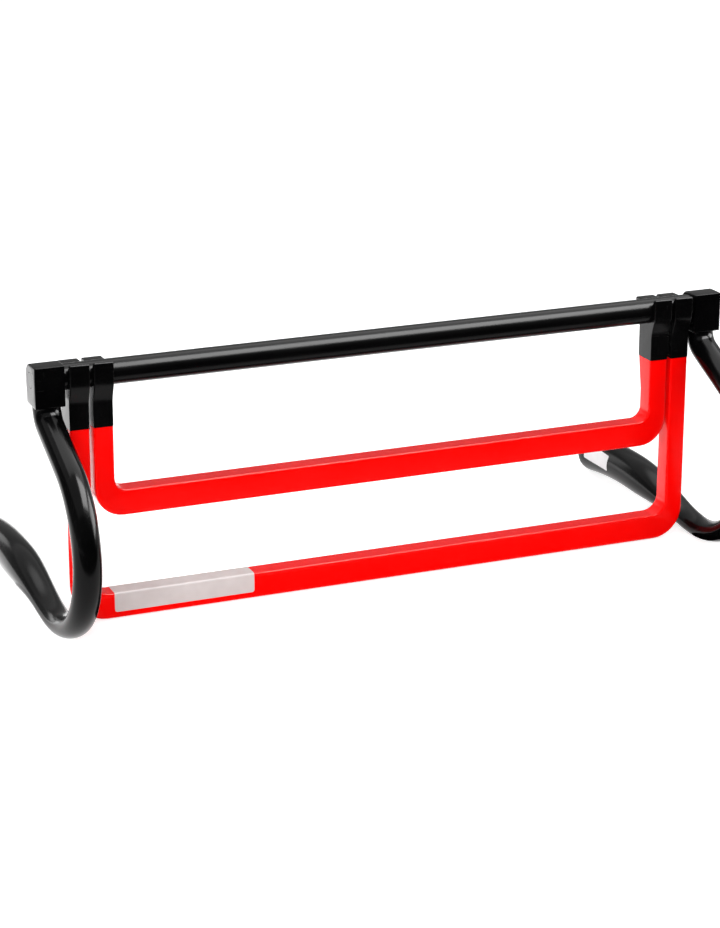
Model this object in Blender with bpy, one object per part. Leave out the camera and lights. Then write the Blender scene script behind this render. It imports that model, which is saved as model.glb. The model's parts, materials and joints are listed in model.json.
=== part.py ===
"""Training hurdle with three heights: a round crossbar on two S-shaped moulded legs, and two
U-shaped rails that hang from the bar in snap clips and swing up over it.

Units are metres, +Z is up and the floor is Z = 0. The bar runs along X, the front of the
hurdle faces -Y, and the legs' heels point to +Y.
"""

import math

import bmesh
import bpy
from mathutils import Matrix, Vector

# Crossbar tube
BAR_DIAMETER = 0.022
BAR_WALL = 0.002
BAR_SEAT_DEPTH = 0.016

# U-shaped rails
OUTER_HALF_WIDTH = 0.2875
OUTER_DROP = 0.2137
INNER_DROP = 0.1232
RAIL_UPRIGHT_WIDTH = 0.017
RAIL_BAR_HEIGHT = 0.0228
RAIL_DEPTH = 0.0185
RAIL_END_SWELL = 0.0049
RAIL_SWELL_LENGTH = 0.030
OUTER_CORNER_RADIUS = 0.028
INNER_CORNER_RADIUS = 0.0245
CORNER_RADIUS_STEP = 0.0142
RAIL_EDGE_RADIUS = 0.002
FLOOR_CLEARANCE = 0.0010
RAIL_TO_RAIL_GAP = 0.0035
CLIP_TO_LEG_GAP = 0.0035

# Snap clips
CLIP_ARM_THICKNESS = 0.0032
CLIP_FRONT_RISE = 0.0015
CLIP_TAB_REACH = 0.0115
CLIP_TAB_THICKNESS = 0.0044
CLIP_TAB_BELOW_TOP = 0.0050
CLIP_DROP = 0.0440
CLIP_HEAD_DROP = 0.0030
CLIP_NECK_DROP = 0.0238
CLIP_MOUTH_WIDTH = 0.0165
CLIP_MOUTH_FLARE = 0.0022
CLIP_TIP_ROUNDING = 0.45
CLIP_EDGE_RADIUS = 0.0009
SPIGOT_LENGTH = 0.018
SPIGOT_WALL = 0.004

# Legs: square head, upper bend, straight slope, front curl and heel
HEAD_WALL = 0.002
HEAD_WIDTH = 0.026
HEAD_SKIRT = 0.011
HEAD_EDGE_RADIUS = 0.0012
HEAD_BACK_RADIUS = 0.010
LEG_DIAMETER = 0.024
LEG_SLANT = math.radians(65.5)
UPPER_BEND_RADIUS = 0.0185
LEG_STRAIGHT = 0.0525
CURL_RADIUS = 0.0745
CURL_RUN = 0.0905
SOLE_HEIGHT = 0.0185
REAR_REACH = 0.208
HEEL_WIDTH = 0.033
HEEL_HEIGHT = 0.035
HEEL_SWELL_SHARE = 0.50
HEEL_RISE = math.radians(14.0)
HEEL_FALL = math.radians(10.0)
HEEL_END_LENGTH = 0.014
HEEL_TIP_SHARE = 0.18
SOLE_FLAT = 0.001

# Fasteners: a plug, washer, bolt and cap at each end of the bar, a screw in each clip
BOLT_DIAMETER = 0.006
BOLT_HEAD_DIAMETER = 0.0105
BOLT_HEAD_HEIGHT = 0.0026
BOLT_LENGTH = 0.020
WASHER_DIAMETER = 0.013
WASHER_THICKNESS = 0.0012
CAP_THICKNESS = 0.0016
PLUG_LENGTH = 0.026
SCREW_DIAMETER = 0.0034
SCREW_HEAD_DIAMETER = 0.0068
SCREW_HEAD_HEIGHT = 0.0018
SCREW_LENGTH = 0.009
SCREW_BELOW_SEAM = 0.009

# Clearances
SEAT_GAP = 0.0003
RUNNING_GAP = 0.00025
CUT_OVERRUN = 0.002

# Facets
ROUND_SEGMENTS = 40
SMALL_SEGMENTS = 16
LEG_SEGMENTS = 20
CORNER_STEPS = 8
BORE_STEPS = 26
NECK_STEPS = 6
BEND_STEPS = 6
CURL_STEPS = 8
SWEEP_STEPS = 9
HEEL_STEPS = 14
HEEL_END_STEPS = 5
SMOOTH_ANGLE = math.radians(35.0)

# Worked out from the sizes above
BAR_RADIUS = BAR_DIAMETER / 2
BAR_AXIS_HEIGHT = OUTER_DROP + FLOOR_CLEARANCE
INNER_HALF_WIDTH = OUTER_HALF_WIDTH - RAIL_UPRIGHT_WIDTH - RAIL_TO_RAIL_GAP
HEAD_INNER_FACE = OUTER_HALF_WIDTH + CLIP_TO_LEG_GAP
LEG_X = HEAD_INNER_FACE + HEAD_WIDTH / 2
BAR_HALF_LENGTH = HEAD_INNER_FACE + BAR_SEAT_DEPTH - SEAT_GAP
HEAD_HALF_DEPTH = BAR_RADIUS + HEAD_WALL
HEAD_TOP = BAR_AXIS_HEIGHT + BAR_RADIUS + HEAD_WALL
HEAD_BOTTOM = BAR_AXIS_HEIGHT - BAR_RADIUS - HEAD_SKIRT
LEG_RADIUS = LEG_DIAMETER / 2
SOLE_CENTRE = SOLE_HEIGHT / 2 - SOLE_FLAT
CURL_Y = (
    CURL_RADIUS * math.cos(LEG_SLANT)
    - UPPER_BEND_RADIUS * (1 - math.cos(LEG_SLANT))
    - LEG_STRAIGHT * math.sin(LEG_SLANT)
)
CURL_Z = (
    HEAD_BOTTOM
    - (UPPER_BEND_RADIUS + CURL_RADIUS) * math.sin(LEG_SLANT)
    - LEG_STRAIGHT * math.cos(LEG_SLANT)
)
FRONT_REACH = CURL_RADIUS - CURL_Y + LEG_RADIUS
BAR_Y = (FRONT_REACH - REAR_REACH) / 2
CLIP_BORE_RADIUS = BAR_RADIUS + RUNNING_GAP
CLIP_HALF_DEPTH = CLIP_BORE_RADIUS + CLIP_ARM_THICKNESS
SEAM_BACK = RAIL_DEPTH / 2 + RAIL_END_SWELL
RAIL_TOP = -(CLIP_DROP + SEAT_GAP)
RECESS_DEPTH = WASHER_THICKNESS + BOLT_HEAD_HEIGHT + CAP_THICKNESS + 3 * SEAT_GAP

# Colours as linear RGB
BLACK = (0.012, 0.012, 0.013)
RED = (0.80, 0.006, 0.004)
PLUG_GREY = (0.10, 0.10, 0.11)
STEEL = (0.55, 0.56, 0.58)


def clear_scene():
    """Remove every object, so that the script starts from an empty scene."""
    for item in list(bpy.data.objects):
        bpy.data.objects.remove(item, do_unlink=True)


def new_collection(name):
    """Make a collection in the scene."""
    collection = bpy.data.collections.new(name)
    bpy.context.scene.collection.children.link(collection)
    return collection


def new_material(name, colour, roughness, metallic=0.0):
    """Make a Principled material for one sub-part."""
    material = bpy.data.materials.new(name)
    material.use_nodes = True
    shader = material.node_tree.nodes["Principled BSDF"]
    shader.inputs["Base Color"].default_value = (*colour, 1.0)
    shader.inputs["Roughness"].default_value = roughness
    shader.inputs["Metallic"].default_value = metallic
    material.diffuse_color = (*colour, 1.0)
    return material


def new_object(name, shape, collection, location=(0, 0, 0), parent=None):
    """Turn a bmesh into a named object, placed in its parent's frame."""
    mesh = bpy.data.meshes.new(name)
    bmesh.ops.recalc_face_normals(shape, faces=shape.faces)
    if shape.calc_volume(signed=True) < 0:
        bmesh.ops.reverse_faces(shape, faces=shape.faces)
    shape.to_mesh(mesh)
    shape.free()
    mesh.shade_smooth()
    mesh.set_sharp_from_angle(angle=SMOOTH_ANGLE)
    item = bpy.data.objects.new(name, mesh)
    collection.objects.link(item)
    item.parent = parent
    item.location = location
    return item


def sub_part(name, shape, finish, location=(0, 0, 0), parent=None):
    """Make one sub-part of the hurdle with its own material."""
    item = new_object(name, shape, hurdle, location, parent)
    item.data.materials.append(new_material(name + "_finish", *finish))
    return item


def cut(item, name, shape, location=(0, 0, 0), parent=None):
    """Subtract a cutter from a sub-part."""
    cutter = new_object(name, shape, cutters, location, parent)
    cutter.hide_render = True
    cutter.display_type = "WIRE"
    modifier = item.modifiers.new(name, "BOOLEAN")
    modifier.operation = "DIFFERENCE"
    modifier.solver = "EXACT"
    modifier.object = cutter


def add_box(shape, low, high):
    """Add a box between two corners."""
    low = Vector(low)
    high = Vector(high)
    size = Matrix.Diagonal((*(high - low), 1.0))
    bmesh.ops.create_cube(shape, size=1.0, matrix=Matrix.Translation((low + high) / 2) @ size)


def add_turned(shape, profile, direction, start=(0, 0, 0), segments=SMALL_SEGMENTS, closed=False):
    """Revolve a profile of (distance along the axis, radius) pairs around an axis.

    An open profile begins and ends on the axis, and a closed one stays clear of it."""
    axis = Vector(direction).normalized()
    across = axis.orthogonal().normalized()
    start = Vector(start)
    points = [shape.verts.new(start + axis * along + across * radius) for along, radius in profile]
    pairs = list(zip(points, points[1:]))
    if closed:
        pairs.append((points[-1], points[0]))
    edges = [shape.edges.new(pair) for pair in pairs]
    bmesh.ops.spin(
        shape, geom=points + edges, cent=start, axis=axis,
        angle=math.tau, steps=segments, use_merge=True,
    )
    bmesh.ops.remove_doubles(shape, verts=shape.verts, dist=1e-6)


def arc(centre, radius, start, end, count):
    """Points on an arc, with its angles in degrees."""
    turns = [math.radians(start + (end - start) * i / count) for i in range(count + 1)]
    return [(centre[0] + radius * math.cos(a), centre[1] + radius * math.sin(a)) for a in turns]


def add_outline(shape, outline, place, thickness):
    """Extrude a flat outline by its thickness, half to each side of its plane.

    place maps (u, v, w) to a point, where w runs through the thickness. Returns the vertices."""
    bottom = [shape.verts.new(place(u, v, -thickness / 2)) for u, v in outline]
    face = shape.faces.new(bottom)
    step = bmesh.ops.extrude_face_region(shape, geom=[face])
    top = [item for item in step["geom"] if isinstance(item, bmesh.types.BMVert)]
    shift = Vector(place(0, 0, thickness / 2)) - Vector(place(0, 0, -thickness / 2))
    bmesh.ops.translate(shape, verts=top, vec=shift)
    bmesh.ops.recalc_face_normals(shape, faces=shape.faces)


def round_edges(shape, keep, radius, segments=2):
    """Round the edges for which keep(edge) is true."""
    edges = [edge for edge in shape.edges if keep(edge)]
    bmesh.ops.bevel(
        shape, geom=edges, offset=radius, offset_type="OFFSET", segments=segments,
        profile=0.5, affect="EDGES", clamp_overlap=True,
    )


def both(edge, test):
    """True where both ends of an edge pass a test on their position."""
    return all(test(vert.co) for vert in edge.verts)


def near(value, target):
    """Equal within a micrometre."""
    return abs(value - target) < 1e-6


def rail_shape(half_width, drop, outer):
    """One U-shaped rail around the bar axis, open ends up. Its uprights thicken backwards near
    their ends, and its long edges are rounded."""
    low = -drop
    inner_x = half_width - RAIL_UPRIGHT_WIDTH
    inner_low = low + RAIL_BAR_HEIGHT
    inner = outer - CORNER_RADIUS_STEP
    swell_low = RAIL_TOP - RAIL_SWELL_LENGTH
    outline = [(-half_width, RAIL_TOP), (-half_width, swell_low)]
    outline += arc((-half_width + outer, low + outer), outer, 180, 270, CORNER_STEPS)
    outline += arc((half_width - outer, low + outer), outer, 270, 360, CORNER_STEPS)
    outline += [(half_width, swell_low), (half_width, RAIL_TOP)]
    outline += [(inner_x, RAIL_TOP), (inner_x, swell_low)]
    outline += arc((inner_x - inner, inner_low + inner), inner, 0, -90, CORNER_STEPS)
    outline += arc((-inner_x + inner, inner_low + inner), inner, 270, 180, CORNER_STEPS)
    outline += [(-inner_x, swell_low), (-inner_x, RAIL_TOP)]
    shape = bmesh.new()
    add_outline(shape, outline, lambda u, v, w: (u, w, v), RAIL_DEPTH)

    def back_vertex(x, z):
        return next(v for v in shape.verts if v.co.y > 0 and near(v.co.x, x) and near(v.co.z, z))

    for side in (-1, 1):
        fold = [back_vertex(side * x, swell_low) for x in (half_width, inner_x)]
        bmesh.ops.connect_verts(shape, verts=fold)
        ends = [back_vertex(side * x, RAIL_TOP) for x in (half_width, inner_x)]
        bmesh.ops.translate(shape, verts=ends, vec=(0, RAIL_END_SWELL, 0))

    def is_long_edge(edge):
        start, end = (vert.co for vert in edge.verts)
        across = near(start.x, end.x) and near(start.z, end.z)
        at_end = near(start.z, RAIL_TOP) and near(end.z, RAIL_TOP)
        return not (across or at_end) and edge.calc_face_angle() > math.radians(60)

    round_edges(shape, is_long_edge, RAIL_EDGE_RADIUS)
    return shape


def rail_cutter_shape(half_width):
    """Sockets for the clips' spigots and stepped holes for their screws, at both ends."""
    shape = bmesh.new()
    half_x = RAIL_UPRIGHT_WIDTH / 2 - SPIGOT_WALL
    half_y = RAIL_DEPTH / 2 - SPIGOT_WALL
    bottom = RAIL_TOP - SPIGOT_LENGTH - SEAT_GAP
    screw_z = RAIL_TOP - SCREW_BELOW_SEAM
    seat = RAIL_DEPTH / 2 - SCREW_HEAD_HEIGHT - SEAT_GAP
    hole = SCREW_DIAMETER / 2 + SEAT_GAP
    head = SCREW_HEAD_DIAMETER / 2 + SEAT_GAP
    for side in (-1, 1):
        x = side * (half_width - RAIL_UPRIGHT_WIDTH / 2)
        add_box(shape, (x - half_x, -half_y, bottom), (x + half_x, half_y, RAIL_TOP + CUT_OVERRUN))
    holes = bmesh.new()
    for side in (-1, 1):
        x = side * (half_width - RAIL_UPRIGHT_WIDTH / 2)
        end = SEAM_BACK + CUT_OVERRUN
        profile = [(0, 0), (0, hole), (seat, hole), (seat, head), (end, head), (end, 0)]
        add_turned(holes, profile, (0, 1, 0), (x, 0, screw_z))
    return shape, holes


def clip_outline():
    """The clip's side view as (y, z) points around the bar axis: a C that is open at the top,
    with a plain front arm and a back arm that turns out into a thumb tab. The neck's front draws
    in to the rail and its back runs down straight."""
    neck = RAIL_DEPTH / 2
    half = CLIP_HALF_DEPTH
    mouth = CLIP_MOUTH_WIDTH / 2
    lip = math.degrees(math.acos(mouth / CLIP_BORE_RADIUS))
    lip_z = CLIP_BORE_RADIUS * math.sin(math.radians(lip))
    tab = CLIP_TAB_THICKNESS / 2
    tab_centre = (BAR_RADIUS + CLIP_TAB_REACH - tab, BAR_RADIUS - CLIP_TAB_BELOW_TOP)
    outline = [(half, tab_centre[1] - 3 * tab)]
    outline += arc(tab_centre, tab, -60, 90, 6)
    outline += [(mouth + CLIP_MOUTH_FLARE, max(lip_z, tab_centre[1] + tab) + RUNNING_GAP)]
    outline += arc((0, 0), CLIP_BORE_RADIUS, lip, -180 - lip, BORE_STEPS)
    tip = CLIP_TIP_ROUNDING * (half - mouth - CLIP_MOUTH_FLARE)
    tip_z = BAR_RADIUS + CLIP_FRONT_RISE - tip
    outline += arc((-mouth - CLIP_MOUTH_FLARE - tip, tip_z), tip, 0, 90, 3)
    outline += arc((tip - half, tip_z), tip, 90, 180, 3)
    for i in range(NECK_STEPS + 1):
        share = i / NECK_STEPS
        y = neck + (half - neck) * (1 + math.cos(math.pi * share)) / 2
        outline.append((-y, -CLIP_HEAD_DROP - (CLIP_NECK_DROP - CLIP_HEAD_DROP) * share))
    return outline + [(-neck, -CLIP_DROP), (SEAM_BACK, -CLIP_DROP)]


def clip_shape():
    """A snap clip around the bar axis, with the spigot that plugs into its rail."""
    half_width = RAIL_UPRIGHT_WIDTH / 2
    shape = bmesh.new()
    add_outline(shape, clip_outline(), lambda u, v, w: (w, u, v), RAIL_UPRIGHT_WIDTH)
    seam = [face for face in shape.faces if all(near(v.co.z, -CLIP_DROP) for v in face.verts)]
    bmesh.ops.inset_region(
        shape, faces=seam, thickness=SPIGOT_WALL + SEAT_GAP, use_even_offset=True,
    )
    rear = [vert for vert in seam[0].verts if vert.co.y > 0]
    bmesh.ops.translate(shape, verts=rear, vec=(0, -RAIL_END_SWELL, 0))
    step = bmesh.ops.extrude_face_region(shape, geom=seam)["geom"]
    bmesh.ops.delete(shape, geom=seam, context="FACES_ONLY")
    end = [item for item in step if isinstance(item, bmesh.types.BMVert)]
    bmesh.ops.translate(shape, verts=end, vec=(0, 0, -SPIGOT_LENGTH))

    def is_outer_rim(edge):
        on_side = both(edge, lambda co: near(abs(co.x), half_width))
        in_bore = both(edge, lambda co: math.hypot(co.y, co.z) < CLIP_BORE_RADIUS + 1e-5)
        at_seam = both(edge, lambda co: near(co.z, -CLIP_DROP))
        across = not near(edge.verts[0].co.x, edge.verts[1].co.x)
        return on_side and not (in_bore or at_seam or across)

    round_edges(shape, is_outer_rim, CLIP_EDGE_RADIUS)
    return shape


def leg_centre_line():
    """Stations along the leg as (y, z, slant, half width, half height). The slant is the angle
    of the path from straight down, positive towards the front."""
    stations = [(0.0, HEAD_BOTTOM + CUT_OVERRUN, 0.0, LEG_RADIUS, LEG_RADIUS)]
    for i in range(BEND_STEPS + 1):
        slant = LEG_SLANT * i / BEND_STEPS
        y = -UPPER_BEND_RADIUS * (1 - math.cos(slant))
        z = HEAD_BOTTOM - UPPER_BEND_RADIUS * math.sin(slant)
        stations.append((y, z, slant, LEG_RADIUS, LEG_RADIUS))
    for i in range(CURL_STEPS):
        slant = LEG_SLANT * (1 - i / CURL_STEPS)
        y = CURL_Y - CURL_RADIUS * math.cos(slant)
        z = CURL_Z + CURL_RADIUS * math.sin(slant)
        stations.append((y, z, slant, LEG_RADIUS, LEG_RADIUS))
    for i in range(SWEEP_STEPS + 1):
        stations.append(sweep_station(math.pi / 2 * i / SWEEP_STEPS))
    stations.append(sweep_station(math.pi / 2 + HEEL_RISE))
    return stations + heel_stations()


def sweep_station(turn):
    """A station on the quarter ellipse that sweeps from the front of the curl to the sole. The
    section grows flatter towards the sole."""
    height = CURL_Z - SOLE_CENTRE
    y = CURL_Y - CURL_RADIUS + CURL_RUN * (1 - math.cos(turn))
    z = CURL_Z - height * math.sin(turn)
    slant = math.atan2(-CURL_RUN * math.sin(turn), height * math.cos(turn))
    flattening = (LEG_RADIUS - SOLE_HEIGHT / 2) * math.sin(turn) ** 2
    return y, z, slant, LEG_RADIUS, LEG_RADIUS - flattening


def heel_stations():
    """The heel behind the curl: it swells to its full section, arches off the floor and comes
    down again on its rounded end."""
    start_y, start_z, start_slant = sweep_station(math.pi / 2 + HEEL_RISE)[:3]
    end_y = REAR_REACH - HEEL_END_LENGTH
    end_z = HEEL_HEIGHT / 2 - SOLE_FLAT
    run = end_y - start_y
    rise = run * math.tan(-math.pi / 2 - start_slant)
    fall = run * math.tan(HEEL_FALL)
    stations = []
    for i in range(1, HEEL_STEPS + 1):
        u = i / HEEL_STEPS
        z = (
            start_z * (2 * u**3 - 3 * u**2 + 1) + end_z * (3 * u**2 - 2 * u**3)
            + rise * (u**3 - 2 * u**2 + u) + fall * (u**2 - u**3)
        )
        slope = (
            (end_z - start_z) * 6 * (u - u**2)
            + rise * (3 * u**2 - 4 * u + 1) + fall * (2 * u - 3 * u**2)
        ) / run
        swell = min(u / HEEL_SWELL_SHARE, 1.0)
        swell = swell * swell * (3 - 2 * swell)
        half_width = LEG_RADIUS + (HEEL_WIDTH / 2 - LEG_RADIUS) * swell
        half_height = (SOLE_HEIGHT + (HEEL_HEIGHT - SOLE_HEIGHT) * swell) / 2
        slant = -math.pi / 2 - math.atan(slope)
        stations.append((start_y + run * u, z, slant, half_width, half_height))
    for i in range(1, HEEL_END_STEPS + 1):
        turn = math.pi / 2 * i / HEEL_END_STEPS
        reach = math.sin(turn)
        shrink = max(math.cos(turn), HEEL_TIP_SHARE)
        y = end_y + HEEL_END_LENGTH * reach
        z = end_z - HEEL_END_LENGTH * (reach - reach * reach / 2) * math.tan(HEEL_FALL)
        slant = -math.pi / 2 + HEEL_FALL * (1 - reach)
        half_width = HEEL_WIDTH / 2 * shrink
        stations.append((y, z, slant, half_width, HEEL_HEIGHT / 2 * shrink))
    return stations


def section_matrix(station):
    """Place a unit circle as the leg's section at one station."""
    y, z, slant, half_width, half_height = station
    normal = Vector((0, math.cos(slant), -math.sin(slant)))
    along = Vector((0, -math.sin(slant), -math.cos(slant)))
    columns = (Vector((half_width, 0, 0)), normal * half_height, along)
    place = Matrix(columns).transposed().to_4x4()
    place.translation = (0, y, z)
    return place


def leg_tube_shape():
    """Loft the leg's section along its centre line and cut the soles flat at the floor."""
    stations = [section_matrix(station) for station in leg_centre_line()]
    shape = bmesh.new()
    bmesh.ops.create_circle(
        shape, cap_ends=True, radius=1.0, segments=LEG_SEGMENTS, matrix=stations[0],
    )
    ring = list(shape.edges)
    for last, place in zip(stations, stations[1:]):
        step = bmesh.ops.extrude_edge_only(shape, edges=ring)["geom"]
        ring = [item for item in step if isinstance(item, bmesh.types.BMEdge)]
        verts = [item for item in step if isinstance(item, bmesh.types.BMVert)]
        bmesh.ops.transform(shape, matrix=place @ last.inverted(), verts=verts)
    bmesh.ops.contextual_create(shape, geom=ring)
    geometry = shape.verts[:] + shape.edges[:] + shape.faces[:]
    sliced = bmesh.ops.bisect_plane(
        shape, geom=geometry, plane_co=(0, 0, 0), plane_no=(0, 0, -1), clear_outer=True,
    )
    rim = [item for item in sliced["geom_cut"] if isinstance(item, bmesh.types.BMEdge)]
    bmesh.ops.holes_fill(shape, edges=rim)
    return shape


def head_shape():
    """The square head of a leg, with a large radius at the top of its back."""
    back = HEAD_HALF_DEPTH
    outline = [(-back, HEAD_BOTTOM), (back, HEAD_BOTTOM)]
    outline += arc((back - HEAD_BACK_RADIUS, HEAD_TOP - HEAD_BACK_RADIUS), HEAD_BACK_RADIUS, 0, 90, 6)
    outline += [(-back, HEAD_TOP)]
    shape = bmesh.new()
    add_outline(shape, outline, lambda u, v, w: (w, u, v), HEAD_WIDTH)
    round_edges(shape, lambda edge: edge.calc_face_angle() > math.radians(60), HEAD_EDGE_RADIUS)
    return shape


def make_leg(name, side):
    """One leg: the lofted tube joined to the square head that takes the bar's end."""
    place = (side * LEG_X, BAR_Y, 0)
    half_x = HEAD_WIDTH / 2
    leg = sub_part(name, head_shape(), (BLACK, 0.28), place)
    tube = new_object(name + "_tube", leg_tube_shape(), cutters, place)
    tube.hide_render = True
    tube.display_type = "WIRE"
    union = leg.modifiers.new("tube", "BOOLEAN")
    union.operation = "UNION"
    union.solver = "EXACT"
    union.object = tube

    bore = BAR_RADIUS + SEAT_GAP
    bolt_hole = BOLT_DIAMETER / 2 + SEAT_GAP
    recess = WASHER_DIAMETER / 2 + SEAT_GAP
    recess_floor = HEAD_WIDTH - RECESS_DEPTH
    profile = [
        (-CUT_OVERRUN, 0), (-CUT_OVERRUN, bore), (BAR_SEAT_DEPTH, bore),
        (BAR_SEAT_DEPTH, bolt_hole), (recess_floor, bolt_hole), (recess_floor, recess),
        (HEAD_WIDTH + CUT_OVERRUN, recess), (HEAD_WIDTH + CUT_OVERRUN, 0),
    ]
    socket = bmesh.new()
    start = (-side * half_x, 0, BAR_AXIS_HEIGHT)
    add_turned(socket, profile, (side, 0, 0), start, ROUND_SEGMENTS)
    cut(leg, name + "_socket", socket, place)


def make_crossbar():
    """The bar: a round tube along X between the legs' heads."""
    inner = BAR_RADIUS - BAR_WALL
    profile = [
        (-BAR_HALF_LENGTH, inner), (-BAR_HALF_LENGTH, BAR_RADIUS),
        (BAR_HALF_LENGTH, BAR_RADIUS), (BAR_HALF_LENGTH, inner),
    ]
    shape = bmesh.new()
    add_turned(shape, profile, (1, 0, 0), segments=ROUND_SEGMENTS, closed=True)
    sub_part("crossbar", shape, (BLACK, 0.22), (0, BAR_Y, BAR_AXIS_HEIGHT))


def make_bar_end(word, side):
    """The plug in one end of the bar, the washer and bolt that hold the leg on it, and the cap
    that closes the bolt's recess."""
    place = (side * BAR_HALF_LENGTH, BAR_Y, BAR_AXIS_HEIGHT)
    outward = (side, 0, 0)
    plug_radius = BAR_RADIUS - BAR_WALL - SEAT_GAP
    hole = BOLT_DIAMETER / 2 + SEAT_GAP
    recess_floor = HEAD_INNER_FACE + HEAD_WIDTH - RECESS_DEPTH
    washer_start = recess_floor + SEAT_GAP - BAR_HALF_LENGTH
    head_start = washer_start + WASHER_THICKNESS + SEAT_GAP
    hole_end = head_start - BOLT_LENGTH - SEAT_GAP

    plug = bmesh.new()
    profile = [
        (-PLUG_LENGTH, 0), (-PLUG_LENGTH, plug_radius), (0, plug_radius),
        (0, hole), (hole_end, hole), (hole_end, 0),
    ]
    add_turned(plug, profile, outward, segments=ROUND_SEGMENTS)
    sub_part(word + "_bar_plug", plug, (PLUG_GREY, 0.5), place)

    washer = bmesh.new()
    washer_end = washer_start + WASHER_THICKNESS
    outer = WASHER_DIAMETER / 2
    profile = [(washer_start, hole), (washer_start, outer), (washer_end, outer), (washer_end, hole)]
    add_turned(washer, profile, outward, closed=True)
    sub_part(word + "_bar_washer", washer, (STEEL, 0.35, 1.0), place)

    bolt = bmesh.new()
    crown = head_start + BOLT_HEAD_HEIGHT
    head = BOLT_HEAD_DIAMETER / 2
    shank = BOLT_DIAMETER / 2
    profile = [
        (head_start - BOLT_LENGTH, 0), (head_start - BOLT_LENGTH, shank), (head_start, shank),
        (head_start, head), (crown - BOLT_HEAD_HEIGHT / 3, head), (crown, head * 0.7), (crown, 0),
    ]
    add_turned(bolt, profile, outward)
    sub_part(word + "_bar_bolt", bolt, (STEEL, 0.35, 1.0), place)

    cap = bmesh.new()
    cap_start = crown + SEAT_GAP
    cap_end = cap_start + CAP_THICKNESS
    profile = [(cap_start, 0), (cap_start, outer), (cap_end, outer), (cap_end, 0)]
    add_turned(cap, profile, outward, segments=ROUND_SEGMENTS)
    sub_part(word + "_end_cap", cap, (BLACK, 0.28), place)


def make_frame(word, half_width, drop, corner):
    """One swinging frame on a pivot empty at the bar axis: rail, two clips and their screws."""
    pivot = bpy.data.objects.new(word + "_frame_pivot", None)
    hurdle.objects.link(pivot)
    pivot.location = (0, BAR_Y, BAR_AXIS_HEIGHT)
    shape = rail_shape(half_width, drop, corner)
    rail = sub_part(word + "_rail", shape, (RED, 0.35), parent=pivot)
    sockets, holes = rail_cutter_shape(half_width)
    cut(rail, word + "_rail_sockets", sockets, parent=pivot)
    cut(rail, word + "_rail_screw_holes", holes, parent=pivot)
    for side_word, side in (("left", -1), ("right", 1)):
        x = side * (half_width - RAIL_UPRIGHT_WIDTH / 2)
        make_clip(word + "_clip_" + side_word, (x, 0, 0), pivot)
        make_clip_screw(word + "_clip_screw_" + side_word, x, pivot)


def make_clip(name, place, pivot):
    """One snap clip, with the pilot hole for its screw."""
    clip = sub_part(name, clip_shape(), (BLACK, 0.38), place, pivot)
    pilot = bmesh.new()
    hole = SCREW_DIAMETER / 2 + SEAT_GAP
    tip = RAIL_DEPTH / 2 - SEAT_GAP - SCREW_HEAD_HEIGHT - SCREW_LENGTH
    end = RAIL_DEPTH / 2
    start = (0, 0, RAIL_TOP - SCREW_BELOW_SEAM)
    profile = [(tip - SEAT_GAP, 0), (tip - SEAT_GAP, hole), (end, hole), (end, 0)]
    add_turned(pilot, profile, (0, 1, 0), start)
    cut(clip, name + "_pilot", pilot, place, pivot)


def make_clip_screw(name, x, pivot):
    """The screw that goes through the rail's back wall into a clip's spigot."""
    seat = RAIL_DEPTH / 2 - SCREW_HEAD_HEIGHT
    shank = SCREW_DIAMETER / 2
    head = SCREW_HEAD_DIAMETER / 2
    crown = seat + SCREW_HEAD_HEIGHT
    profile = [
        (seat - SCREW_LENGTH, 0), (seat - SCREW_LENGTH, shank), (seat, shank), (seat, head),
        (crown - SCREW_HEAD_HEIGHT / 3, head), (crown, head * 0.75), (crown, 0),
    ]
    shape = bmesh.new()
    add_turned(shape, profile, (0, 1, 0))
    sub_part(name, shape, (STEEL, 0.35, 1.0), (x, 0, RAIL_TOP - SCREW_BELOW_SEAM), pivot)


clear_scene()
hurdle = new_collection("training_hurdle")
cutters = new_collection("cutters")
make_crossbar()
for end_word, end_side in (("left", -1), ("right", 1)):
    make_leg(end_word + "_leg", end_side)
    make_bar_end(end_word, end_side)
make_frame("inner", INNER_HALF_WIDTH, INNER_DROP, INNER_CORNER_RADIUS)
make_frame("outer", OUTER_HALF_WIDTH, OUTER_DROP, OUTER_CORNER_RADIUS)
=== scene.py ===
"""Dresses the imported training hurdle: moulded black plastic legs and clips, a black tube for the
bar, glossy red rails, a blank paper label on the lower rail and a blank sticker on one heel."""

import json
import math

import bmesh
import bpy
from mathutils import Matrix, Vector
from mathutils.bvhtree import BVHTree


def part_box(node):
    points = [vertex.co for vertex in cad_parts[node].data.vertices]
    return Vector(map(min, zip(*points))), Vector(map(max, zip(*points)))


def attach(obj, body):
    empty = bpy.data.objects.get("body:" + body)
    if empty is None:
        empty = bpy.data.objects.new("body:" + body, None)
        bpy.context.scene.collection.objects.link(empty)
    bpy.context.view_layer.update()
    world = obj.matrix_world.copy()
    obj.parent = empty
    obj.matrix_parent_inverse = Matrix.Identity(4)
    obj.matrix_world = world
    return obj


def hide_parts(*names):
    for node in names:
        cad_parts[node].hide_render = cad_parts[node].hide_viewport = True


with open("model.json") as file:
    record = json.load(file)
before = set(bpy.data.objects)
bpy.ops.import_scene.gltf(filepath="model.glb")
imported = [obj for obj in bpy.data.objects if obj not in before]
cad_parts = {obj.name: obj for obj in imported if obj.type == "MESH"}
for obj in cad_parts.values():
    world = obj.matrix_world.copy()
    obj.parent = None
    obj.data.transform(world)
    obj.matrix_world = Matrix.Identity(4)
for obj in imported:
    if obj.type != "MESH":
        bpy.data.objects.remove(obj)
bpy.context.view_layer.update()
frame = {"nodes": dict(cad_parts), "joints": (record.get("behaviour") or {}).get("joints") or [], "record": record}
BAR_AXIS = Vector(frame["joints"][0]["pos_m"])

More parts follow.
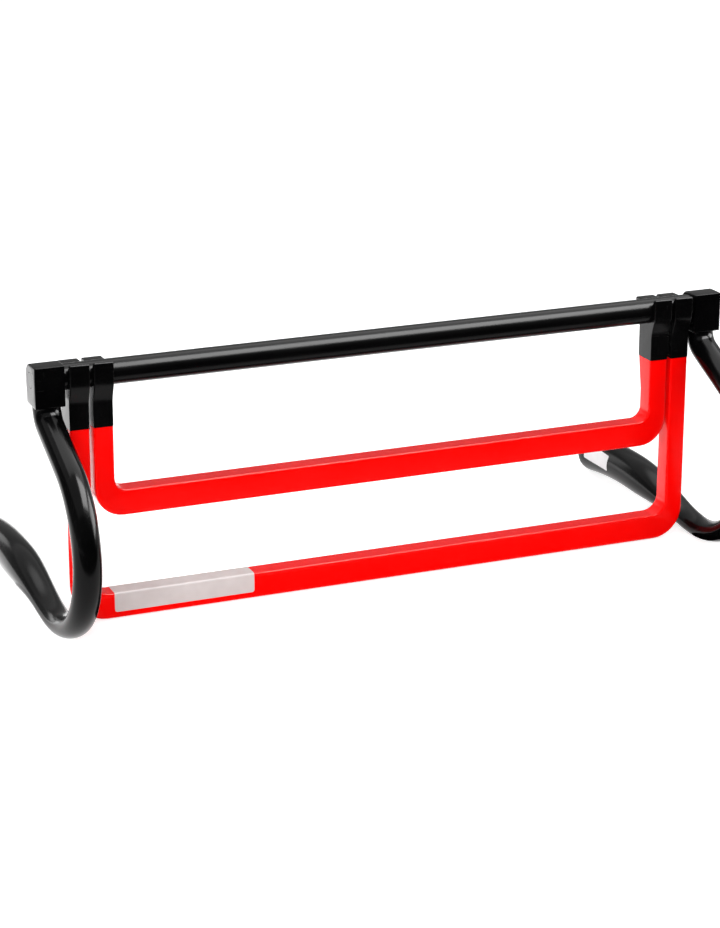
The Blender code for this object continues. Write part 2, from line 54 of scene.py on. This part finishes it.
# Camera, fitted to the photograph
IMAGE_HEIGHT = 928
FOCAL_PIXELS = 2700.0
SENSOR = 36.0
CAMERA_AZIMUTH = math.radians(22.7556)
CAMERA_ELEVATION = math.radians(18.3578)
CAMERA_ROLL = math.radians(0.0877)
CAMERA_DISTANCE = 2.33026
CAMERA_TARGET = BAR_AXIS + Vector((-0.0266, 0.0, -0.1083))

# Meshes
WELD = 1e-6
CREASE = math.radians(50.0)
CORNER_SEGMENTS = 4

# Bar
TUBE_SEGMENTS = 96
BAR_WALL = 0.002

# Finishes
NOISE_LOW = 0.3
NOISE_HIGH = 0.7
TONE_RANGE = (0.35, 0.65)
SCUFF_RANGE = (0.66, 0.76)
SCUFF_DULLING = 0.05
GRAIN_STRENGTH = 0.25
FIBRE_STRENGTH = 0.2
FIBRE_DEPTH = 0.00005
PLASTIC_SPECULAR = 0.10
PLUG_SPECULAR = 0.4
PAPER_SPECULAR = 0.3

# Blank label round the front and top of the lower rail
LABEL_LEFT = -0.2535
LABEL_RIGHT = -0.1285
LABEL_LOW = 0.0067
LABEL_ARC_STEPS = 6
LABEL_CORNER = 0.0022
LABEL_THICKNESS = 0.00012
RAIL_EDGE_RADIUS = 0.002
RAIL_BAR_HEIGHT = 0.0228
RAIL_DEPTH = 0.0185

# Blank sticker on the inner side of the right heel
STICKER_LENGTH = 0.047
STICKER_WIDTH = 0.0145
STICKER_CENTRE_Y = 0.1140
STICKER_CENTRE_Z = 0.0245
STICKER_CORNER = 0.0015
STICKER_THICKNESS = 0.00014
STICKER_LIFT = 0.00008
STICKER_STEPS = (20, 10)

# Legs: which packed edges stay sharp, and how triangles join into quads
ROUNDING_LEVELS = 2
HEAD_BOTTOM = 0.1927
HEAD_CREASE = math.radians(20.0)
SOLE_LEVEL = 0.00005
QUAD_BEND = math.radians(25.0)
QUAD_SHEAR = math.radians(70.0)

# Screw heads in the backs of the rails
SCREW_SEGMENTS = 32
SCREW_HEAD_HEIGHT = 0.0018
SCREW_SHANK_RADIUS = 0.0017
CROWN_SHARE = 0.78
SHOULDER_SHARE = 0.95
SHOULDER_DROP = 0.28
BRIM_DROP = 0.62
RECESS_LENGTH = 0.0040
RECESS_WIDTH = 0.0010
RECESS_DEPTH = 0.0010

# Studio
WORLD_LIGHT = 0.40
FLOOR_SIZE = 24.0
FLOOR_DROP = 0.0002
FLOOR_GLOW = 0.68
FLOOR_WHITE = 0.82
FLOOR_ROUGHNESS = 0.9
FLAG_LIFT = 0.0002
FLAG_HEIGHT = 2.1


def new_group(name, inputs, outputs):
    """A shader node group with named float inputs and outputs."""
    group = bpy.data.node_groups.new(name, "ShaderNodeTree")
    for label, value in inputs.items():
        socket = group.interface.new_socket(label, in_out="INPUT", socket_type="NodeSocketFloat")
        socket.default_value = value
    for label in outputs:
        group.interface.new_socket(label, in_out="OUTPUT", socket_type="NodeSocketFloat")
    return group


def add_node(tree, kind, values=None, **settings):
    """Add a node, with its settings and its unlinked input values."""
    node = tree.nodes.new(kind)
    for label, value in settings.items():
        setattr(node, label, value)
    for label, value in (values or {}).items():
        node.inputs[label].default_value = value
    return node


def noise(tree, coordinates, scale, detail, stretch=(1.0, 1.0, 1.0)):
    """Noise on stretched object coordinates. Returns its value socket."""
    mapping = add_node(tree, "ShaderNodeMapping", {"Scale": stretch})
    tree.links.new(coordinates, mapping.inputs["Vector"])
    texture = add_node(tree, "ShaderNodeTexNoise", {"Scale": scale, "Detail": detail})
    tree.links.new(mapping.outputs["Vector"], texture.inputs["Vector"])
    return texture.outputs["Fac"]


def remap(tree, source, low, high, to_low=0.0, to_high=1.0):
    """Map a value from one range to another, clamped. Returns the result socket."""
    values = {"From Min": low, "From Max": high, "To Min": to_low, "To Max": to_high}
    node = add_node(tree, "ShaderNodeMapRange", values)
    tree.links.new(source, node.inputs["Value"])
    return node.outputs["Result"]


def moulded_skin_group():
    """Slow tone changes, fine grain and sparse scuffs, as on injection-moulded plastic."""
    group = new_group("moulded_skin", {"Grain Scale": 1800.0}, ("Tone", "Grain", "Scuff"))
    source = add_node(group, "NodeGroupInput")
    result = add_node(group, "NodeGroupOutput")
    where = add_node(group, "ShaderNodeTexCoord").outputs["Object"]
    tone = remap(group, noise(group, where, 22.0, 3.0), *TONE_RANGE)
    grain = add_node(group, "ShaderNodeTexNoise", {"Detail": 2.0})
    group.links.new(where, grain.inputs["Vector"])
    group.links.new(source.outputs["Grain Scale"], grain.inputs["Scale"])
    along = noise(group, where, 60.0, 4.0, (1.0, 9.0, 9.0))
    upright = noise(group, where, 75.0, 4.0, (8.0, 8.0, 1.0))
    both = add_node(group, "ShaderNodeMath", operation="MAXIMUM")
    group.links.new(along, both.inputs[0])
    group.links.new(upright, both.inputs[1])
    scuff = remap(group, both.outputs["Value"], *SCUFF_RANGE)
    group.links.new(tone, result.inputs["Tone"])
    group.links.new(grain.outputs["Fac"], result.inputs["Grain"])
    group.links.new(scuff, result.inputs["Scuff"])
    return group


def new_material(name):
    """A material with a Principled shader. Returns the material, its tree and its shader."""
    material = bpy.data.materials.new(name)
    material.use_nodes = True
    return material, material.node_tree, material.node_tree.nodes["Principled BSDF"]


def mix_colours(tree, factor, first, second):
    """Blend between two colours by a value socket. Returns the colour socket."""
    node = add_node(tree, "ShaderNodeMix", data_type="RGBA")
    node.inputs["A"].default_value = (*first, 1.0)
    node.inputs["B"].default_value = (*second, 1.0)
    tree.links.new(factor, node.inputs["Factor"])
    return node


def moulded_plastic(name, colour, deep, scuffed, gloss, grain_scale, grain_depth, specular):
    """A moulded plastic finish: colour and gloss vary slowly, scuffs are paler and duller."""
    material, tree, shader = new_material(name)
    skin = add_node(tree, "ShaderNodeGroup", node_tree=MOULDED_SKIN)
    skin.inputs["Grain Scale"].default_value = grain_scale
    body = mix_colours(tree, skin.outputs["Tone"], deep, colour)
    worn = add_node(tree, "ShaderNodeMix", data_type="RGBA")
    worn.inputs["B"].default_value = (*scuffed, 1.0)
    tree.links.new(skin.outputs["Scuff"], worn.inputs["Factor"])
    tree.links.new(body.outputs["Result"], worn.inputs["A"])
    tree.links.new(worn.outputs["Result"], shader.inputs["Base Color"])
    duller = add_node(tree, "ShaderNodeMath", {1: SCUFF_DULLING}, operation="MULTIPLY_ADD")
    tree.links.new(skin.outputs["Scuff"], duller.inputs[0])
    tree.links.new(remap(tree, skin.outputs["Tone"], 0.0, 1.0, *gloss), duller.inputs[2])
    tree.links.new(duller.outputs["Value"], shader.inputs["Roughness"])
    bump = add_node(tree, "ShaderNodeBump", {"Strength": GRAIN_STRENGTH, "Distance": grain_depth})
    tree.links.new(skin.outputs["Grain"], bump.inputs["Height"])
    tree.links.new(bump.outputs["Normal"], shader.inputs["Normal"])
    shader.inputs["Specular IOR Level"].default_value = specular
    return material


def leg_plastic():
    """Glossy black of the legs and their end caps."""
    return moulded_plastic(
        "leg_black", (0.0016, 0.0016, 0.0017), (0.0009, 0.0009, 0.0010), (0.004, 0.004, 0.0042),
        gloss=(0.15, 0.20), grain_scale=1500.0, grain_depth=0.00002, specular=PLASTIC_SPECULAR,
    )


def clip_plastic():
    """Black of the clips, a little duller than the legs."""
    return moulded_plastic(
        "clip_black", (0.0020, 0.0020, 0.0021), (0.0011, 0.0011, 0.0012), (0.005, 0.005, 0.0052),
        gloss=(0.20, 0.26), grain_scale=2400.0, grain_depth=0.00003, specular=PLASTIC_SPECULAR,
    )


def rail_plastic():
    """Bright red of the rails."""
    return moulded_plastic(
        "rail_red", (0.95, 0.0008, 0.0003), (0.91, 0.0006, 0.0002), (0.96, 0.0030, 0.0015),
        gloss=(0.17, 0.20), grain_scale=2000.0, grain_depth=0.00001, specular=PLASTIC_SPECULAR,
    )


def plug_plastic():
    """Dull grey of the plugs inside the bar."""
    return moulded_plastic(
        "plug_grey", (0.11, 0.11, 0.12), (0.08, 0.08, 0.09), (0.16, 0.16, 0.17),
        gloss=(0.45, 0.58), grain_scale=1200.0, grain_depth=0.0001, specular=PLUG_SPECULAR,
    )


def bar_plastic():
    """Black of the drawn tube, with faint streaks along its length."""
    material, tree, shader = new_material("bar_black")
    where = add_node(tree, "ShaderNodeTexCoord").outputs["Object"]
    streaks = noise(tree, where, 40.0, 4.0, (0.35, 12.0, 12.0))
    patches = noise(tree, where, 18.0, 2.0)
    streak_tone = remap(tree, streaks, NOISE_LOW, NOISE_HIGH)
    body = mix_colours(tree, streak_tone, (0.0008, 0.0008, 0.0009), (0.0018, 0.0018, 0.0019))
    tree.links.new(body.outputs["Result"], shader.inputs["Base Color"])
    tree.links.new(remap(tree, patches, NOISE_LOW, NOISE_HIGH, 0.20, 0.25), shader.inputs["Roughness"])
    shader.inputs["Specular IOR Level"].default_value = PLASTIC_SPECULAR
    return material


def paper(name, shaded, clear):
    """Coated paper with a faint fibre, unprinted."""
    material, tree, shader = new_material(name)
    where = add_node(tree, "ShaderNodeTexCoord").outputs["Object"]
    fibre = noise(tree, where, 900.0, 3.0)
    cloud = noise(tree, where, 60.0, 2.0)
    body = mix_colours(tree, remap(tree, cloud, NOISE_LOW, NOISE_HIGH), shaded, clear)
    tree.links.new(body.outputs["Result"], shader.inputs["Base Color"])
    tree.links.new(remap(tree, fibre, NOISE_LOW, NOISE_HIGH, 0.38, 0.52), shader.inputs["Roughness"])
    bump = add_node(tree, "ShaderNodeBump", {"Strength": FIBRE_STRENGTH, "Distance": FIBRE_DEPTH})
    tree.links.new(fibre, bump.inputs["Height"])
    tree.links.new(bump.outputs["Normal"], shader.inputs["Normal"])
    shader.inputs["Specular IOR Level"].default_value = PAPER_SPECULAR
    return material


def label_paper():
    """Slightly pink white of the label, with the red rail behind it."""
    return paper("label_white", (0.54, 0.49, 0.48), (0.60, 0.55, 0.54))


def sticker_paper():
    """Clean white of the sticker."""
    return paper("sticker_white", (0.66, 0.66, 0.67), (0.74, 0.74, 0.75))


def bright_steel():
    """Plain steel of the screws, washers and bolts, with fine turning marks."""
    material, tree, shader = new_material("bright_steel")
    where = add_node(tree, "ShaderNodeTexCoord").outputs["Object"]
    marks = noise(tree, where, 1400.0, 3.0, (1.0, 0.2, 1.0))
    mark_tone = remap(tree, marks, NOISE_LOW, NOISE_HIGH)
    body = mix_colours(tree, mark_tone, (0.46, 0.47, 0.49), (0.60, 0.61, 0.63))
    tree.links.new(body.outputs["Result"], shader.inputs["Base Color"])
    tree.links.new(remap(tree, marks, NOISE_LOW, NOISE_HIGH, 0.28, 0.42), shader.inputs["Roughness"])
    shader.inputs["Metallic"].default_value = 1.0
    return material


def finish_mesh(name, shape, material):
    """Turn a bmesh into a piece, smooth but creased at its sharp edges."""
    mesh = bpy.data.meshes.new(name)
    shape.to_mesh(mesh)
    shape.free()
    if "custom_normal" in mesh.attributes:
        mesh.attributes.remove(mesh.attributes["custom_normal"])
    mesh.materials.clear()
    mesh.materials.append(material)
    mesh.shade_smooth()
    mesh.set_sharp_from_angle(angle=CREASE)
    piece = bpy.data.objects.new(name, mesh)
    bpy.context.scene.collection.objects.link(piece)
    even = piece.modifiers.new("even_shading", "WEIGHTED_NORMAL")
    even.keep_sharp = True
    return piece


def welded(node):
    """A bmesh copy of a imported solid, with its loose triangles joined."""
    shape = bmesh.new()
    shape.from_mesh(frame["nodes"][node].data)
    bmesh.ops.remove_doubles(shape, verts=shape.verts, dist=WELD)
    return shape


def body_of(node):
    """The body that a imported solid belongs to."""
    bodies = frame["record"]["behaviour"]["bodies"]
    return next(body for body, nodes in bodies.items() if node in nodes)


def stand_for(piece, node):
    """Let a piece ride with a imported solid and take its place."""
    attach(piece, body_of(node))
    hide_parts(node)


def skin(node, material, slot):
    """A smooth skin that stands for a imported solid."""
    stand_for(finish_mesh(node + "_skin", welded(node), material), node)


def keeps_edge(edge):
    """True for the edges of a leg's head and of its flat soles."""
    heights = [vert.co.z for vert in edge.verts]
    on_head = min(heights) > HEAD_BOTTOM - WELD and edge.calc_face_angle(0.0) > HEAD_CREASE
    return on_head or max(heights) < SOLE_LEVEL


def make_leg(node, material):
    """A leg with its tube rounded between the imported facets, and its head's edges kept."""
    shape = welded(node)
    bmesh.ops.join_triangles(
        shape, faces=shape.faces, angle_face_threshold=QUAD_BEND, angle_shape_threshold=QUAD_SHEAR,
    )
    crease = shape.edges.layers.float.new("crease_edge")
    for edge in shape.edges:
        edge[crease] = float(keeps_edge(edge))
    piece = finish_mesh(node + "_skin", shape, material)
    rounding = piece.modifiers.new("rounding", "SUBSURF")
    rounding.levels = ROUNDING_LEVELS
    rounding.render_levels = ROUNDING_LEVELS
    piece.modifiers.move(1, 0)
    stand_for(piece, node)
    return piece


def round_corners(shape, radius):
    """Round the four corners of a sheet."""
    corners = [vert for vert in shape.verts if len(vert.link_edges) == 2]
    bmesh.ops.bevel(
        shape, geom=corners, offset=radius, segments=CORNER_SEGMENTS, profile=0.5, affect="VERTICES",
        material=-1,
    )


def ring(shape, centre, radius, y):
    """A ring of vertices round a screw's axis."""
    turns = [math.tau * i / SCREW_SEGMENTS for i in range(SCREW_SEGMENTS)]
    return [
        shape.verts.new((centre.x + radius * math.cos(turn), y, centre.z + radius * math.sin(turn)))
        for turn in turns
    ]


def cross_outline(shape, centre, y):
    """The twelve corners of a cross recess."""
    arm, half = RECESS_LENGTH / 2, RECESS_WIDTH / 2
    quarter = [(arm, -half), (arm, half), (half, half)]
    verts = []
    for i in range(4):
        turn = math.pi / 2 * i
        cosine, sine = round(math.cos(turn)), round(math.sin(turn))
        for x, z in quarter:
            place = (centre.x + cosine * x - sine * z, y, centre.z + sine * x + cosine * z)
            verts.append(shape.verts.new(place))
    return verts


def loop_edges(shape, verts):
    """Edges round a closed loop of vertices."""
    return [shape.edges.new(pair) for pair in zip(verts, verts[1:] + verts[:1])]


def wall(shape, first, second):
    """Faces between two loops of the same length."""
    for i in range(len(first)):
        shape.faces.new((first[i - 1], first[i], second[i], second[i - 1]))


def make_screw(node, material):
    """A pan-head screw with a cross recess, at the back of a rail's end."""
    low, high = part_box(node)
    centre = (low + high) / 2
    radius = (high.z - low.z) / 2
    under = high.y - SCREW_HEAD_HEIGHT
    shape = bmesh.new()
    crown = ring(shape, centre, radius * CROWN_SHARE, high.y)
    shoulder_level = high.y - SCREW_HEAD_HEIGHT * SHOULDER_DROP
    shoulder = ring(shape, centre, radius * SHOULDER_SHARE, shoulder_level)
    brim = ring(shape, centre, radius, high.y - SCREW_HEAD_HEIGHT * BRIM_DROP)
    base = ring(shape, centre, radius, under)
    neck = ring(shape, centre, SCREW_SHANK_RADIUS, under)
    tip = ring(shape, centre, SCREW_SHANK_RADIUS, low.y)
    mouth = cross_outline(shape, centre, high.y)
    bottom = cross_outline(shape, centre, high.y - RECESS_DEPTH)
    top_edges = loop_edges(shape, crown) + loop_edges(shape, mouth)
    bmesh.ops.triangle_fill(shape, use_beauty=True, edges=top_edges)
    for first, second in ((crown, shoulder), (shoulder, brim), (brim, base), (base, neck), (neck, tip)):
        wall(shape, first, second)
    wall(shape, mouth, bottom)
    shape.faces.new(bottom)
    shape.faces.new(tip)
    bmesh.ops.recalc_face_normals(shape, faces=shape.faces)
    stand_for(finish_mesh(node + "_cross_head", shape, material), node)


def make_sticker(material, leg):
    """A blank sticker that follows the inner side of the right heel."""
    surface = BVHTree.FromObject(leg, bpy.context.evaluated_depsgraph_get())
    shape = bmesh.new()
    bmesh.ops.create_grid(shape, x_segments=STICKER_STEPS[0], y_segments=STICKER_STEPS[1], size=0.5)
    for vert in shape.verts:
        y = STICKER_CENTRE_Y + vert.co.x * STICKER_LENGTH
        z = STICKER_CENTRE_Z + vert.co.y * STICKER_WIDTH
        place, normal = surface.ray_cast(Vector((0.0, y, z)), Vector((1, 0, 0)))[:2]
        vert.co = place + normal * STICKER_LIFT
    bmesh.ops.recalc_face_normals(shape, faces=shape.faces)
    if sum(face.normal.x for face in shape.faces) > 0:
        bmesh.ops.reverse_faces(shape, faces=shape.faces)
    round_corners(shape, STICKER_CORNER)
    bmesh.ops.solidify(shape, geom=shape.faces[:], thickness=-STICKER_THICKNESS)
    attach(finish_mesh("blank_sticker", shape, material), "stand")


def make_bar(material):
    """The bar's tube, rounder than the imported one."""
    low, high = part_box("crossbar")
    radius = (high.z - low.z) / 2
    shape = bmesh.new()
    turn = Matrix.Translation((low + high) / 2) @ Matrix.Rotation(math.pi / 2, 4, "Y")
    bmesh.ops.create_cone(
        shape, cap_ends=False, segments=TUBE_SEGMENTS, radius1=radius, radius2=radius,
        depth=high.x - low.x, matrix=turn,
    )
    bmesh.ops.solidify(shape, geom=shape.faces[:], thickness=BAR_WALL)
    bmesh.ops.recalc_face_normals(shape, faces=shape.faces)
    stand_for(finish_mesh("bar_tube", shape, material), "crossbar")


def make_label(material):
    """A blank label that wraps from the front of the lower rail over its top."""
    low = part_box("outer_rail")[0]
    top = low.z + RAIL_BAR_HEIGHT
    middle = BAR_AXIS.y
    reach = RAIL_DEPTH / 2 - RAIL_EDGE_RADIUS
    drop = top - RAIL_EDGE_RADIUS
    profile = [(middle - RAIL_DEPTH / 2, LABEL_LOW)]
    for side in (-1, 1):
        for i in range(LABEL_ARC_STEPS + 1):
            turn = math.pi / 2 * i / LABEL_ARC_STEPS
            if side > 0:
                turn = math.pi / 2 - turn
            out = reach + RAIL_EDGE_RADIUS * math.cos(turn)
            profile.append((middle + side * out, drop + RAIL_EDGE_RADIUS * math.sin(turn)))
    shape = bmesh.new()
    verts = [shape.verts.new((LABEL_LEFT, y, z)) for y, z in profile]
    edges = [shape.edges.new(pair) for pair in zip(verts, verts[1:])]
    step = bmesh.ops.extrude_edge_only(shape, edges=edges)["geom"]
    moved = [item for item in step if isinstance(item, bmesh.types.BMVert)]
    bmesh.ops.translate(shape, verts=moved, vec=(LABEL_RIGHT - LABEL_LEFT, 0, 0))
    bmesh.ops.recalc_face_normals(shape, faces=shape.faces)
    if sum(face.normal.y for face in shape.faces) > 0:
        bmesh.ops.reverse_faces(shape, faces=shape.faces)
    round_corners(shape, LABEL_CORNER)
    bmesh.ops.solidify(shape, geom=shape.faces[:], thickness=-LABEL_THICKNESS)
    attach(finish_mesh("blank_label", shape, material), "outer_frame")


def make_camera():
    """The camera at the photograph's viewpoint."""
    level = math.cos(CAMERA_ELEVATION)
    ahead = math.cos(CAMERA_AZIMUTH) * level
    look = Vector((math.sin(CAMERA_AZIMUTH) * level, ahead, -math.sin(CAMERA_ELEVATION)))
    data = bpy.data.cameras.new("camera")
    data.sensor_width = SENSOR
    data.lens = FOCAL_PIXELS * SENSOR / IMAGE_HEIGHT
    camera = bpy.data.objects.new("camera", data)
    camera.location = CAMERA_TARGET - look * CAMERA_DISTANCE
    upright = look.to_track_quat("-Z", "Y").to_matrix()
    camera.rotation_euler = (upright @ Matrix.Rotation(CAMERA_ROLL, 3, "Z")).to_euler()
    bpy.context.scene.collection.objects.link(camera)
    bpy.context.scene.camera = camera


def add_softbox(name, place, aim, size, energy, mirrored):
    """A rectangular lamp, which lights the object or shows only as a highlight in its gloss."""
    data = bpy.data.lights.new(name, "AREA")
    data.shape = "RECTANGLE"
    data.size, data.size_y = size
    data.energy = energy
    lamp = bpy.data.objects.new(name, data)
    lamp.location = place
    lamp.rotation_euler = (Vector(aim) - Vector(place)).to_track_quat("-Z", "Y").to_euler()
    lamp.visible_diffuse = not mirrored
    lamp.visible_glossy = mirrored
    bpy.context.scene.collection.objects.link(lamp)


def seen_directly(tree):
    """One where a surface is seen by the camera, in a reflection or through glass, else zero."""
    path = add_node(tree, "ShaderNodeLightPath")
    first = add_node(tree, "ShaderNodeMath", operation="MAXIMUM")
    tree.links.new(path.outputs["Is Camera Ray"], first.inputs[0])
    tree.links.new(path.outputs["Is Glossy Ray"], first.inputs[1])
    second = add_node(tree, "ShaderNodeMath", operation="MAXIMUM")
    tree.links.new(first.outputs["Value"], second.inputs[0])
    tree.links.new(path.outputs["Is Transmission Ray"], second.inputs[1])
    return second.outputs["Value"]


def make_world():
    """A white surround that gives the object only plain, even light."""
    world = bpy.data.worlds.new("studio")
    world.use_nodes = True
    tree = world.node_tree
    background = tree.nodes["Background"]
    background.inputs["Color"].default_value = (1.0, 1.0, 1.0, 1.0)
    strength = remap(tree, seen_directly(tree), 0.0, 1.0, WORLD_LIGHT, 1.0)
    tree.links.new(strength, background.inputs["Strength"])
    bpy.context.scene.world = world


def add_sheet(name, shape, material):
    """Turn a bmesh into a plain sheet of the studio."""
    mesh = bpy.data.meshes.new(name)
    shape.to_mesh(mesh)
    shape.free()
    mesh.materials.append(material)
    sheet = bpy.data.objects.new(name, mesh)
    bpy.context.scene.collection.objects.link(sheet)
    return sheet


def make_floor():
    """A plain white floor that keeps the object's soft shadow."""
    shape = bmesh.new()
    bmesh.ops.create_grid(shape, x_segments=4, y_segments=4, size=FLOOR_SIZE / 2)
    bmesh.ops.translate(shape, verts=shape.verts, vec=(0, 0, -FLOOR_DROP))
    material, tree, shader = new_material("floor_white")
    shader.inputs["Base Color"].default_value = (FLOOR_WHITE, FLOOR_WHITE, FLOOR_WHITE, 1.0)
    shader.inputs["Roughness"].default_value = FLOOR_ROUGHNESS
    shader.inputs["Specular IOR Level"].default_value = 0.0
    shader.inputs["Emission Color"].default_value = (1.0, 1.0, 1.0, 1.0)
    glow = remap(tree, seen_directly(tree), 0.0, 1.0, 0.0, FLOOR_GLOW)
    tree.links.new(glow, shader.inputs["Emission Strength"])
    floor = add_sheet("floor", shape, material)


def make_flag(name, corner, across, up, glow):
    """A sheet seen only in the object's gloss, which keeps the white room out of it."""
    corner, across, up = Vector(corner), Vector(across), Vector(up)
    shape = bmesh.new()
    places = (corner, corner + across, corner + across + up, corner + up)
    shape.faces.new([shape.verts.new(place) for place in places])
    material, _, shader = new_material(name)
    shader.inputs["Base Color"].default_value = (0.0, 0.0, 0.0, 1.0)
    shader.inputs["Specular IOR Level"].default_value = 0.0
    shader.inputs["Emission Color"].default_value = (1.0, 1.0, 1.0, 1.0)
    shader.inputs["Emission Strength"].default_value = glow
    flag = add_sheet(name, shape, material)
    flag.visible_camera = False
    flag.visible_diffuse = False
    flag.visible_transmission = False
    flag.visible_shadow = False


def make_flags():
    """Dark sheets round the hurdle, so that its black plastic stays black."""
    make_flag("floor_flag", (-1.6, -2.4, FLAG_LIFT), (4.2, 0, 0), (0, 2.08, 0), 0.0)
    make_flag("rail_flag", (-0.26, -0.13, FLAG_LIFT), (0.56, 0, 0), (0, 0.07, 0), 0.0)
    make_flag("front_flag", (-4.0, -2.4, 0), (9.0, 0, 0), (0, 0, FLAG_HEIGHT), 0.0)
    make_flag("left_flag", (-3.0, -2.4, 0), (0, 5.0, 0), (0, 0, FLAG_HEIGHT), 0.1)
    make_flag("back_flag", (-4.0, 2.6, 0), (9.0, 0, 0), (0, 0, 1.6), 0.4)


def make_lights():
    """Soft studio light, mostly from the front left, with lamps that show only as highlights."""
    aim = (0.0, BAR_AXIS.y, 0.1)
    add_softbox("key", (-1.5, -2.3, 1.2), aim, (1.6, 1.2), 46.0, mirrored=False)
    add_softbox("side", (-2.4, -0.2, 0.7), aim, (1.4, 1.0), 50.0, mirrored=False)
    add_softbox("fill", (1.8, -2.0, 0.9), aim, (1.4, 1.2), 16.0, mirrored=False)
    add_softbox("rear", (0.4, 2.6, 1.2), aim, (1.8, 1.2), 30.0, mirrored=False)
    add_softbox("overhead", (0.66, -0.68, 1.5), (0.66, -0.68, 0), (1.3, 1.0), 115.0, mirrored=True)
    edge_place, edge_aim = (0.66, -1.22, 1.5), (0.66, -1.22, 0)
    add_softbox("overhead_edge", edge_place, edge_aim, (1.3, 0.12), 16.0, mirrored=True)
    add_softbox("ceiling", (0.5, 0.6, 1.7), (0.5, 0.6, 0), (3.0, 1.4), 45.0, mirrored=True)
    add_softbox("back_left", (-0.9, 2.4, 0.6), (0.3, 0.1, 0.03), (0.5, 1.0), 4.0, mirrored=True)
    add_softbox("right", (2.3, -0.6, 0.95), aim, (1.6, 1.2), 120.0, mirrored=True)
    add_softbox("back_card", (-0.38, 0.5, 0.001), (-0.38, 0.5, 1), (1.2, 0.9), 4.8, mirrored=True)


MOULDED_SKIN = moulded_skin_group()
make_camera()
make_world()
make_floor()
make_flags()
make_lights()

leg_black = leg_plastic()
clip_black = clip_plastic()
rail_red = rail_plastic()
plug_grey = plug_plastic()
steel = bright_steel()
make_bar(bar_plastic())
make_label(label_paper())
legs = {}
for end in ("left", "right"):
    legs[end] = make_leg(end + "_leg", leg_black)
    skin(end + "_end_cap", leg_black, "black_leg")
    skin(end + "_bar_plug", plug_grey, "grey_plug")
    skin(end + "_bar_washer", steel, "steel")
    skin(end + "_bar_bolt", steel, "steel")
    for word in ("inner", "outer"):
        skin(word + "_clip_" + end, clip_black, "black_clip")
        make_screw(word + "_clip_screw_" + end, steel)
make_sticker(sticker_paper(), legs["right"])
for word in ("inner", "outer"):
    skin(word + "_rail", rail_red, "red_rail")

bpy.context.scene.view_settings.view_transform = "Standard"
